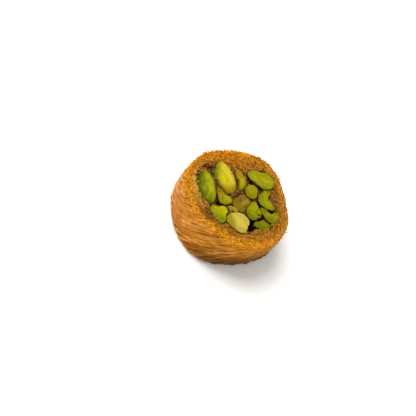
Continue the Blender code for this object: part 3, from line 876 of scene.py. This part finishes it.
# CUT STRAND ENDS
# The knife went straight through the wound layers, so both cut faces are covered with the slanting ends of
# strands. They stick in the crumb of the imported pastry, and on the bank of the bed beside it.

blunt_end = bpy.data.objects.new("blunt_end", bpy.data.meshes.new("blunt_end"))
bpy.context.scene.collection.objects.link(blunt_end)
END_LEVELS = (-1.0, 0.6)  # heights of a strand end's rings, where its radius is 1
END_SIDES = 5
PASTRY_CUT = 17.2 * MM  # the cut face of the pastry lies above this everywhere


def shape_end():
    """The end of one strand: a short five-sided stick with a blunt top."""
    end = bmesh.new()
    rings = []
    for height in END_LEVELS:
        corners = [level(360 * side / END_SIDES) + UP * height for side in range(END_SIDES)]
        rings.append([end.verts.new(corner) for corner in corners])
    tip = end.verts.new((0, 0, 0.8))
    foot = end.verts.new((0, 0, -1.0))
    for side in range(END_SIDES):
        after = (side + 1) % END_SIDES
        end.faces.new((rings[0][side], rings[0][after], rings[1][after], rings[1][side]))
        end.faces.new((rings[1][side], rings[1][after], tip))
        end.faces.new((rings[0][after], rings[0][side], foot))
    end.to_mesh(blunt_end.data)
    end.free()


def end_recipe(name, ground, upper, seed):
    """Strand ends scattered over one cut face, all leaning the way that the strands are wound."""
    tree = Recipe(name)
    apart = tree.size("Distance between ends", 0.36 * MM if upper else 0.5 * MM)
    radius = tree.size("End radius", 0.235 * MM if upper else 0.32 * MM)
    slope = tree.parts(tree.normal)[2]
    x, y, z = tree.parts(tree.position)
    if ground is soaked_bed:
        chosen = (slope > 0.3) * (z > 16.5 * MM) * (tree.kept("outer") > 0.3)
    elif upper:
        near_left = x * TO_NEAR_LEFT.x + y * TO_NEAR_LEFT.y
        holes = tree.clouds(tree.position, 0.9 * MM, detail=1) + tree.ease(near_left, 0.0, 0.7) * 0.14
        chosen = (slope > 0.3) * (z > PASTRY_CUT) * (holes < 0.64)
    else:
        chosen = (slope < -0.5) * (z < 0.5 * MM)
    points = tree.scatter(ground, chosen, apart, 1.2e7, seed)
    clump = (tree.clouds(tree.position, 1.1 * MM, detail=1) - 0.5) * 1.6
    if upper:
        lift = (tree.chance(-0.22, 0.24, seed + 1) + clump * 0.35) * MM
    else:
        lift = tree.chance(0.50, 0.66, seed + 1) * MM
    points = tree.keep(points, "tone", tree.chance(0.1, 0.9, seed + 2) + clump)
    # Painted shade: ends that sit lower in a clump get a larger depth, which their material darkens.
    points = tree.keep(points, "deep", tree.chance(-0.3, 0.6, seed + 3) - clump)
    jitter = tree.vector(tree.chance(-0.5, 0.5, seed + 4), tree.chance(-0.5, 0.5, seed + 5), 0.0)
    lean = tree.around(x, y) * 1.1 + UP + jitter
    points = tree.moved(points, {"Offset": tree.vector(0.0, 0.0, lift)})
    wide = tree.chance(0.7, 1.35, seed + 6) * radius
    tall = tree.chance(0.5, 1.0, seed + 7) * MM * (0.6 if upper else 0.36)
    ends = tree.copies(points, tree.form(blunt_end), "Z", lean, tree.vector(wide, wide, tall))
    return tree.serve(ends, cut_material)


def make_ends():
    shape_end()
    places = (
        ("upper_cut_ends", ring_form, True, 70),
        ("lower_cut_ends", ring_form, False, 90),
        ("inner_cut_ends", soaked_bed, True, 110),
    )
    for name, ground, upper, seed in places:
        add_piece(name, grown(end_recipe(name, ground, upper, seed)), "pastry")


make_ends()
bpy.data.objects.remove(blunt_end)


# SKIN FLAKES
# Papery purple-brown skins that came off the kernels when they were packed. Each is a thin curled scrap
# that the syrup holds in a gap between kernels.

FLAKES = (  # x, y, z: mm from the face's centre and above the base. length, width: mm. turn: degrees.
    (-18.6, 2.9, 19.0, 3.6, 2.2, 60),
    (-17.2, 4.3, 19.1, 2.2, 1.4, -20),
    (11.9, -2.8, 18.1, 2.4, 1.3, 40),
    (-0.2, -5.4, 18.9, 1.5, 0.9, 10),
    (17.6, 10.3, 18.6, 2.2, 1.2, -50),
    (7.2, 13.4, 18.7, 1.4, 0.8, 80),
    (7.3, 7.2, 18.6, 1.6, 0.9, 120),
    (-13.9, 9.6, 18.9, 2.4, 1.1, -35),
)
FLAKE_STEPS = 6


def flake_finish():
    skin = Finish("kernel_skin")
    blotches = skin.clouds(skin.place, 0.9 * MM, detail=3)
    colour = skin.blend(skin.ease(blotches, 0.35, 0.65), paint(66, 20, 8), paint(128, 50, 18))
    return skin.glaze(colour, 0.4, 0.3, skin.bump(blotches, 0.1 * MM))


def make_flakes():
    flakes = bmesh.new()
    for x, y, z, length, width, turn in FLAKES:
        made = bmesh.ops.create_grid(flakes, x_segments=FLAKE_STEPS, y_segments=FLAKE_STEPS, size=0.5)
        for vertex in made["verts"]:
            along, aside = vertex.co.x, vertex.co.y
            aside *= math.sqrt(max(0.05, 1 - (2 * along) ** 2 * 0.9))
            curl = 0.5 * width * (0.25 - 3.2 * aside * aside) + 0.3 * math.sin(7 * along + turn)
            vertex.co = Vector((along * length, aside * width, curl)) * MM
        turned = Matrix.Rotation(math.radians(turn), 4, "Z")
        place = Matrix.Translation(RIM_CENTRE + Vector((x, y, z)) * MM) @ turned
        bmesh.ops.transform(flakes, matrix=place, verts=made["verts"])
    mesh = bpy.data.meshes.new("flakes")
    flakes.to_mesh(mesh)
    flakes.free()
    mesh.materials.append(flake_finish())
    thick = ("SOLIDIFY", {"thickness": 0.12 * MM})
    smooth = ("SUBSURF", {"levels": 1, "render_levels": 1})
    add_piece("skin_flakes", worked(mesh, thick, smooth), "kernel_soaked")


make_flakes()


# BITS OF STRAND
# Short bits that broke off in cutting: golden ones that lie along the cut pastry, whiskers that stand out
# at its rim, and brown, syrup-soaked ones between the kernels. They stick to the syrup.


def soaked_finish():
    fibre = Finish("soaked_fibres")
    tone = fibre.stored("tone")
    colour = fibre.blend(fibre.ease(tone, 0.0, 0.6), paint(64, 30, 10), paint(126, 82, 26))
    colour = fibre.blend(fibre.ease(tone, 0.6, 1.0), colour, paint(196, 164, 96))
    fine = fibre.clouds(fibre.place, 0.5 * MM, detail=2)
    return fibre.glaze(colour, 0.35, 0.35, fibre.bump(fine, 0.08 * MM))


def bit_recipe(name, ground, chosen_by, material, apart, length, radius, headings, seed):
    """Short bent strands scattered over a surface, lying along the winding or any way at all."""
    tree = Recipe(name)
    distance = tree.size("Distance between bits", apart * MM)
    longest = tree.size("Length", length * MM)
    thick = tree.size("Radius", radius * MM)
    points = tree.scatter(ground, chosen_by(tree), distance, 4e6, seed)
    x, y, z = tree.parts(tree.position)
    sideways = (tree.chance(-1.0, 1.0, seed + 1), tree.chance(-1.0, 1.0, seed + 2))
    any_way = tree.vector(*sideways, tree.chance(-0.25, 0.35, seed + 3))
    along_share, out_share = headings
    outward = tree.maths("NORMALIZE", tree.vector(x, y, 0.0))
    way = tree.around(x, y) * along_share + outward * out_share + any_way
    points = tree.keep(points, "tone", tree.chance(0.0, 1.0, seed + 4))
    points = tree.keep(points, "deep", tree.chance(-0.6, 0.4, seed + 5))
    lift = tree.vector(0.0, 0.0, tree.chance(0.02, 0.30, seed + 6) * MM)
    points = tree.moved(points, {"Offset": lift})
    stretch = tree.vector(tree.chance(0.45, 1.0, seed + 7) * longest, 1.0, 1.0)
    bits = tree.copies(points, tree.line((-0.5, 0, 0), (0.5, 0, 0), 7), "X", way, stretch)
    bits = tree.add("GeometryNodeRealizeInstances", {}, {"Geometry": bits})
    sway = tree.clouds(tree.position, 2.2 * MM, detail=1, out="Color") - Vector((0.5, 0.5, 0.48))
    bits = tree.moved(bits, {"Offset": sway * (1.5 * MM)})
    ends = tree.ease(tree.maths("ABSOLUTE", tree.kept("along") - 0.5), 0.3, 0.5, 1.0, 0.55)
    return tree.serve(tree.tube(bits, ends * thick), material)


def on_the_cut_pastry(tree):
    return (tree.parts(tree.normal)[2] > 0.3) * (tree.parts(tree.position)[2] > PASTRY_CUT)


def between_the_kernels(tree):
    return (tree.parts(tree.normal)[2] > 0.45) * (tree.parts(tree.position)[2] > 15.5 * MM)


def at_the_rim(tree):
    slope = tree.parts(tree.normal)[2]
    out = tree.length(tree.position * Vector((1, 1, 0)))
    return (slope > -0.2) * (slope < 0.7) * (tree.parts(tree.position)[2] > 18.0 * MM) * (out > 22.5 * MM)


def make_bits():
    # Which surface, where on it and of what. Distance apart, length and radius in mm. How much they lie
    # along the winding and stand out from it. Seed. Slot.
    kinds = {
        "golden_bits": (
            ring_form, on_the_cut_pastry, cut_material, 0.95, 3.0, 0.19, (1.6, 0.0), 130, "pastry"),
        "rim_whiskers": (
            ring_form, at_the_rim, strand_material, 1.2, 1.9, 0.18, (1.0, 0.6), 170, "pastry"),
        "soaked_bits": (
            soaked_bed, between_the_kernels, soaked_finish(), 0.75, 2.2, 0.15, (0.0, 0.0), 150, "filling"),
    }
    for name, (*kind, slot) in kinds.items():
        add_piece(name, grown(bit_recipe(name, *kind)), slot)


make_bits()
bpy.data.objects.remove(ring_form)


# STUDIO
# A plain white sweep under soft light from the upper left, and the camera above the front edge, turned
# about its own axis as the photograph is. None of it is part of the sweet.

LENS, SENSOR = 50.0, 36.0
PICTURE = 416  # pixels across
LOOK_DOWN = math.radians(48.15)
ROLL = math.radians(41.2)
AIM = Vector((-1.0, 0.0, 20.75)) * MM  # the middle of the cut face
AIM_PIXEL = (239.4, 194.9)  # where it lies in the picture
DISTANCE = 254 * MM
FLOOR_REACH = 6.0  # metres from the middle to each edge
LAMP_DISTANCE = 1.6  # metres from the middle


def make_floor():
    floor = Finish("white_sweep")
    grain = floor.clouds(floor.place, 40 * MM)
    colour = floor.blend(grain, paint(248, 248, 247), paint(252, 252, 251))
    material = floor.close({"Base Color": colour, "Roughness": 0.9})
    mesh = bpy.data.meshes.new("sweep")
    corners = [(FLOOR_REACH * x, FLOOR_REACH * y, 0) for x, y in ((-1, -1), (1, -1), (1, 1), (-1, 1))]
    mesh.from_pydata(corners, [], [(0, 1, 2, 3)])
    mesh.materials.append(material)
    sweep = bpy.data.objects.new("sweep", mesh)
    bpy.context.scene.collection.objects.link(sweep)


def make_lamp(name, direction, size, power):
    data = bpy.data.lights.new(name, "AREA")
    data.shape = "DISK"
    data.size = size
    data.energy = power
    lamp = bpy.data.objects.new(name, data)
    lamp.location = Vector(direction).normalized() * LAMP_DISTANCE
    lamp.rotation_euler = Vector(direction).to_track_quat("Z", "Y").to_euler()
    lamp.visible_camera = False
    bpy.context.scene.collection.objects.link(lamp)


def make_sky():
    world = bpy.data.worlds.new("soft_white")
    world.use_nodes = True
    background = world.node_tree.nodes["Background"]
    background.inputs["Color"].default_value = (1.0, 0.99, 0.97, 1.0)
    background.inputs["Strength"].default_value = 0.62
    bpy.context.scene.world = world
    bpy.context.scene.view_settings.view_transform = "Standard"


def make_camera():
    back = Vector((0, -math.cos(LOOK_DOWN), math.sin(LOOK_DOWN)))
    level_up = Vector((0, math.sin(LOOK_DOWN), math.cos(LOOK_DOWN)))
    right = math.cos(ROLL) * Vector((1, 0, 0)) + math.sin(ROLL) * level_up
    up = math.cos(ROLL) * level_up - math.sin(ROLL) * Vector((1, 0, 0))
    focal = LENS / SENSOR * PICTURE
    across = AIM_PIXEL[0] - PICTURE / 2
    down = AIM_PIXEL[1] - PICTURE / 2
    forward = (-focal * back - across * right + down * up).normalized()
    side = forward.cross(up).normalized()
    data = bpy.data.cameras.new("camera")
    data.lens = LENS
    data.sensor_width = SENSOR
    data.clip_start = 0.01
    camera = bpy.data.objects.new("camera", data)
    camera.matrix_world = Matrix.Translation(AIM + back * DISTANCE) @ Matrix(
        (side, side.cross(forward), -forward)).transposed().to_4x4()
    bpy.context.scene.collection.objects.link(camera)
    bpy.context.scene.camera = camera


make_floor()
make_lamp("key_light", (-0.53, 0.05, 0.85), 1.05, 21.5)
make_lamp("fill_light", (-0.3, -0.9, 0.6), 1.3, 2.5)
make_sky()
make_camera()
